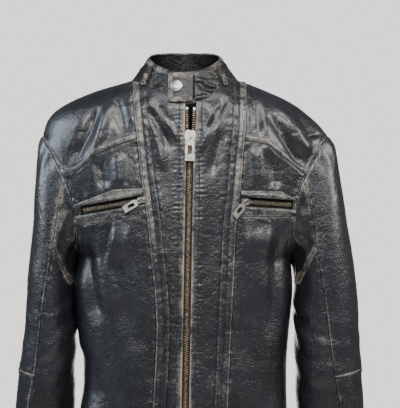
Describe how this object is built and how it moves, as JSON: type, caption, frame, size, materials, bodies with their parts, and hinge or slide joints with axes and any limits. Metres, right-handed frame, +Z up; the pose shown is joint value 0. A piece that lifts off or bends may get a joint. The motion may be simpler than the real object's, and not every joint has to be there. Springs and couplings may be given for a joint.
{
  "type": "leather jacket",
  "caption": "Black leather band-collar jacket with front zip, snap collar tab, princess strips, chest pocket zips and set-in sleeves, worn at every seam.",
  "frame": {"origin": "middle of the neck opening at the height of the high shoulder point", "axes": "+Z up towards the collar, the front faces -Y, the wearer's left is +X"},
  "size_m": [0.607, 0.2288, 0.7685],
  "materials": {
    "leather": "satin",
    "lining": "matte",
    "zip_tape": "matte",
    "zip_teeth": "satin",
    "zip_metal": "satin",
    "snap_metal": "polished"
  },
  "bodies": {
    "jacket": {"centre_front_left": "leather", "front_yoke_left": "leather", "chest_panel_left": "leather", "pocket_panel_left": "leather", "side_front_left": "leather", "princess_strip_left": "leather", "front_lining_left": "lining", "pocket_bag_left": "lining", "back_side_left": "leather", "zip_tape_left": "zip_tape", "zip_teeth_left": "zip_teeth", "zip_top_stop_left": "zip_metal", "pocket_tape_left": "zip_tape", "pocket_chain_left": "zip_teeth", "collar_zip_left": "zip_teeth", "centre_front_right": "leather", "front_yoke_right": "leather", "chest_panel_right": "leather", "pocket_panel_right": "leather", "side_front_right": "leather", "princess_strip_right": "leather", "front_lining_right": "lining", "pocket_bag_right": "lining", "back_side_right": "leather", "zip_tape_right": "zip_tape", "zip_teeth_right": "zip_teeth", "zip_top_stop_right": "zip_metal", "pocket_tape_right": "zip_tape", "pocket_chain_right": "zip_teeth", "collar_zip_right": "zip_teeth", "back_yoke": "leather", "back_centre": "leather", "collar_band": "leather", "collar_facing": "leather", "back_lining": "lining", "hanger_loop": "lining", "snap_stud": "snap_metal", "snap_post": "snap_metal", "zip_bottom_box": "zip_metal"},
    "main_zip_slider": {"main_slider": "zip_metal", "main_slider_back": "zip_metal"},
    "main_zip_pull": {"main_pull": "zip_metal"},
    "neck_tab": {"collar_tab": "leather", "snap_cap": "snap_metal", "snap_socket": "snap_metal"},
    "sleeve_left": {"top_sleeve_left": "leather", "under_sleeve_left": "leather", "sleeve_lining_left": "lining"},
    "pocket_zip_slider_left": {"pocket_slider_left": "zip_metal"},
    "pocket_zip_pull_left": {"pocket_pull_left": "zip_metal"},
    "collar_zip_slider_left": {"collar_slider_left": "zip_metal"},
    "collar_zip_pull_left": {"collar_pull_left": "zip_metal"},
    "sleeve_right": {"top_sleeve_right": "leather", "under_sleeve_right": "leather", "sleeve_lining_right": "lining"},
    "pocket_zip_slider_right": {"pocket_slider_right": "zip_metal"},
    "pocket_zip_pull_right": {"pocket_pull_right": "zip_metal"},
    "collar_zip_slider_right": {"collar_slider_right": "zip_metal"},
    "collar_zip_pull_right": {"collar_pull_right": "zip_metal"}
  },
  "joints": [
    {"name": "main_zip_slide", "type": "slide", "parent": "jacket", "child": "main_zip_slider", "axis": [0.0176, 0.0353, 0.9992], "range_m": [-0.52, 0.033]},
    {"name": "main_pull_swing", "type": "hinge", "parent": "main_zip_slider", "child": "main_zip_pull", "pos_m": [0.00969, -0.10457, -0.09083], "axis": [-0.9998, 0, 0.0176], "range_deg": [0, 150]},
    {"name": "neck_tab_open", "type": "hinge", "parent": "jacket", "child": "neck_tab", "pos_m": [0.0142, -0.09794, -0.03182], "axis": [0, 0.248, 0.9688], "range_deg": [0, 110]},
    {"name": "sleeve_swing_left", "type": "hinge", "parent": "jacket", "child": "sleeve_left", "pos_m": [0.2406, 0, -0.084], "axis": [0, -1, 0], "range_deg": [0, 40]},
    {"name": "pocket_zip_slide_left", "type": "slide", "parent": "jacket", "child": "pocket_zip_slider_left", "axis": [0.9566, 0.2846, -0.0629], "range_m": [0, 0.066]},
    {"name": "pocket_pull_swing_left", "type": "hinge", "parent": "pocket_zip_slider_left", "child": "pocket_zip_pull_left", "pos_m": [0.09939, -0.10329, -0.19712], "axis": [-0.7012, -0.224, 0.6768], "range_deg": [0, 110]},
    {"name": "collar_zip_slide_left", "type": "slide", "parent": "jacket", "child": "collar_zip_slider_left", "axis": [-0.2598, 0.3683, 0.8927], "range_m": [0, 0.014]},
    {"name": "collar_pull_swing_left", "type": "hinge", "parent": "collar_zip_slider_left", "child": "collar_zip_pull_left", "pos_m": [0.06407, -0.06386, 0.00882], "axis": [-0.7553, -0.6534, 0.0498], "range_deg": [0, 130]},
    {"name": "sleeve_swing_right", "type": "hinge", "parent": "jacket", "child": "sleeve_right", "pos_m": [-0.2406, 0, -0.084], "axis": [0, 1, 0], "range_deg": [0, 40]},
    {"name": "pocket_zip_slide_right", "type": "slide", "parent": "jacket", "child": "pocket_zip_slider_right", "axis": [-0.9604, 0.2207, -0.1701], "range_m": [0, 0.086]},
    {"name": "pocket_pull_swing_right", "type": "hinge", "parent": "pocket_zip_slider_right", "child": "pocket_zip_pull_right", "pos_m": [-0.0691, -0.10677, -0.19401], "axis": [-0.4992, 0.1133, 0.859], "range_deg": [0, 110]},
    {"name": "collar_zip_slide_right", "type": "slide", "parent": "jacket", "child": "collar_zip_slider_right", "axis": [0.2584, 0.3667, 0.8937], "range_m": [0, 0.014]},
    {"name": "collar_pull_swing_right", "type": "hinge", "parent": "collar_zip_slider_right", "child": "collar_zip_pull_right", "pos_m": [-0.06404, -0.06388, 0.0088], "axis": [-0.7599, 0.6484, -0.0464], "range_deg": [0, 130]}
  ]
}
